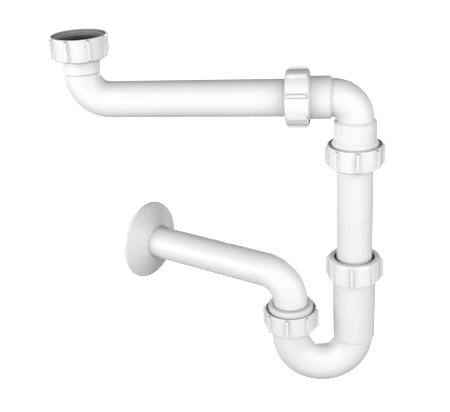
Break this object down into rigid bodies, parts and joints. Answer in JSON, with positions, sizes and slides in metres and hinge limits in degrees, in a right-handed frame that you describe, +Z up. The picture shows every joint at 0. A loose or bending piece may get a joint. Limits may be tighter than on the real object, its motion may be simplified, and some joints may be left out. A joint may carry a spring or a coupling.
{
  "type": "tubular trap",
  "caption": "White plastic tubular basin trap: inlet nut and horizontal pipe, tight elbow, drop tube, U-bend and a swivelling outlet pipe with a loose wall flange.",
  "frame": {"origin": "on the inlet axis, on top of the flat washer in the inlet nut", "axes": "+Z up along the inlet axis, +X along the horizontal pipe towards the drop tube, +Y to the wall side"},
  "size_m": [0.2869, 0.1346, 0.3343],
  "materials": {
    "pipe_plastic": "smooth satin white",
    "nut_plastic": "smooth satin white",
    "flange_plastic": "smooth satin white",
    "ring_plastic": "matte black",
    "seal_rubber": "matte black"
  },
  "bodies": {
    "inlet_pipe": {"inlet_pipe": "pipe_plastic", "inlet_washer": "seal_rubber"},
    "elbow": {"elbow": "pipe_plastic"},
    "drop_tube": {"drop_tube": "pipe_plastic"},
    "trap_body": {"trap_body": "pipe_plastic"},
    "outlet_pipe": {"outlet_pipe": "pipe_plastic"},
    "inlet_nut": {"inlet_nut": "nut_plastic"},
    "side_nut": {"side_nut": "nut_plastic"},
    "tube_nut": {"tube_nut": "nut_plastic"},
    "trap_nut": {"trap_nut": "nut_plastic"},
    "outlet_nut": {"outlet_nut": "nut_plastic"},
    "side_ring": {"side_ring": "ring_plastic"},
    "tube_ring": {"tube_ring": "ring_plastic"},
    "trap_ring": {"trap_ring": "ring_plastic"},
    "outlet_ring": {"outlet_ring": "ring_plastic"},
    "side_seal": {"side_seal": "seal_rubber"},
    "tube_seal": {"tube_seal": "seal_rubber"},
    "trap_seal": {"trap_seal": "seal_rubber"},
    "outlet_seal": {"outlet_seal": "seal_rubber"},
    "wall_flange": {"wall_flange": "flange_plastic"}
  },
  "joints": [
    {"name": "inlet_nut_spin", "type": "hinge", "parent": "inlet_pipe", "child": "inlet_nut", "pos_m": [0, 0, 0], "axis": [0, 0, 1], "continuous": true},
    {"name": "elbow_reach", "type": "slide", "parent": "inlet_pipe", "child": "side_seal", "axis": [1, 0, 0], "range_m": [-0.01, 0.01]},
    {"name": "elbow_swivel", "type": "hinge", "parent": "side_seal", "child": "elbow", "pos_m": [0.2348, 0, -0.046], "axis": [1, 0, 0], "continuous": true},
    {"name": "tube_swivel", "type": "hinge", "parent": "elbow", "child": "tube_seal", "pos_m": [0.2348, 0, -0.1], "axis": [0, 0, 1], "continuous": true},
    {"name": "tube_depth", "type": "slide", "parent": "tube_seal", "child": "drop_tube", "axis": [0, 0, 1], "range_m": [-0.012, 0.008]},
    {"name": "trap_height", "type": "slide", "parent": "drop_tube", "child": "trap_seal", "axis": [0, 0, 1], "range_m": [-0.022, 0.03]},
    {"name": "trap_swivel", "type": "hinge", "parent": "trap_seal", "child": "trap_body", "pos_m": [0.2348, 0, -0.1], "axis": [0, 0, 1], "continuous": true},
    {"name": "outlet_depth", "type": "slide", "parent": "trap_body", "child": "outlet_seal", "axis": [0, 0, 1], "range_m": [-0.003, 0.008]},
    {"name": "outlet_swivel", "type": "hinge", "parent": "outlet_seal", "child": "outlet_pipe", "pos_m": [0.17658, -0.00663, -0.2427], "axis": [0, 0, 1], "range_deg": [-90, 160]},
    {"name": "flange_slide", "type": "slide", "parent": "outlet_pipe", "child": "wall_flange", "axis": [-0.8949, 0.4462, 0], "range_m": [-0.08, 0]},
    {"name": "side_nut_travel", "type": "slide", "parent": "elbow", "child": "side_ring", "axis": [-1, 0, 0], "range_m": [0, 0.0081]},
    {"name": "side_nut_turn", "type": "hinge", "parent": "side_ring", "child": "side_nut", "pos_m": [0.2348, 0, -0.046], "axis": [-1, 0, 0], "range_deg": [0, 1260]},
    {"name": "tube_nut_travel", "type": "slide", "parent": "elbow", "child": "tube_ring", "axis": [0, 0, -1], "range_m": [0, 0.0081]},
    {"name": "tube_nut_turn", "type": "hinge", "parent": "tube_ring", "child": "tube_nut", "pos_m": [0.2348, 0, -0.1], "axis": [0, 0, -1], "range_deg": [0, 1260]},
    {"name": "trap_nut_travel", "type": "slide", "parent": "trap_body", "child": "trap_ring", "axis": [0, 0, 1], "range_m": [0, 0.0081]},
    {"name": "trap_nut_turn", "type": "hinge", "parent": "trap_ring", "child": "trap_nut", "pos_m": [0.2348, 0, -0.1], "axis": [0, 0, 1], "range_deg": [0, 1260]},
    {"name": "outlet_nut_travel", "type": "slide", "parent": "outlet_pipe", "child": "outlet_ring", "axis": [0, 0, -1], "range_m": [0, 0.0081]},
    {"name": "outlet_nut_turn", "type": "hinge", "parent": "outlet_ring", "child": "outlet_nut", "pos_m": [0.17658, -0.00663, -0.2427], "axis": [0, 0, -1], "range_deg": [0, 1260]}
  ],
  "couplings": [
    {"joint": "side_nut_travel", "follows": "side_nut_turn", "m_per_rad": 0.00036749},
    {"joint": "tube_nut_travel", "follows": "tube_nut_turn", "m_per_rad": 0.00036749},
    {"joint": "trap_nut_travel", "follows": "trap_nut_turn", "m_per_rad": 0.00036749},
    {"joint": "outlet_nut_travel", "follows": "outlet_nut_turn", "m_per_rad": 0.00036749}
  ]
}
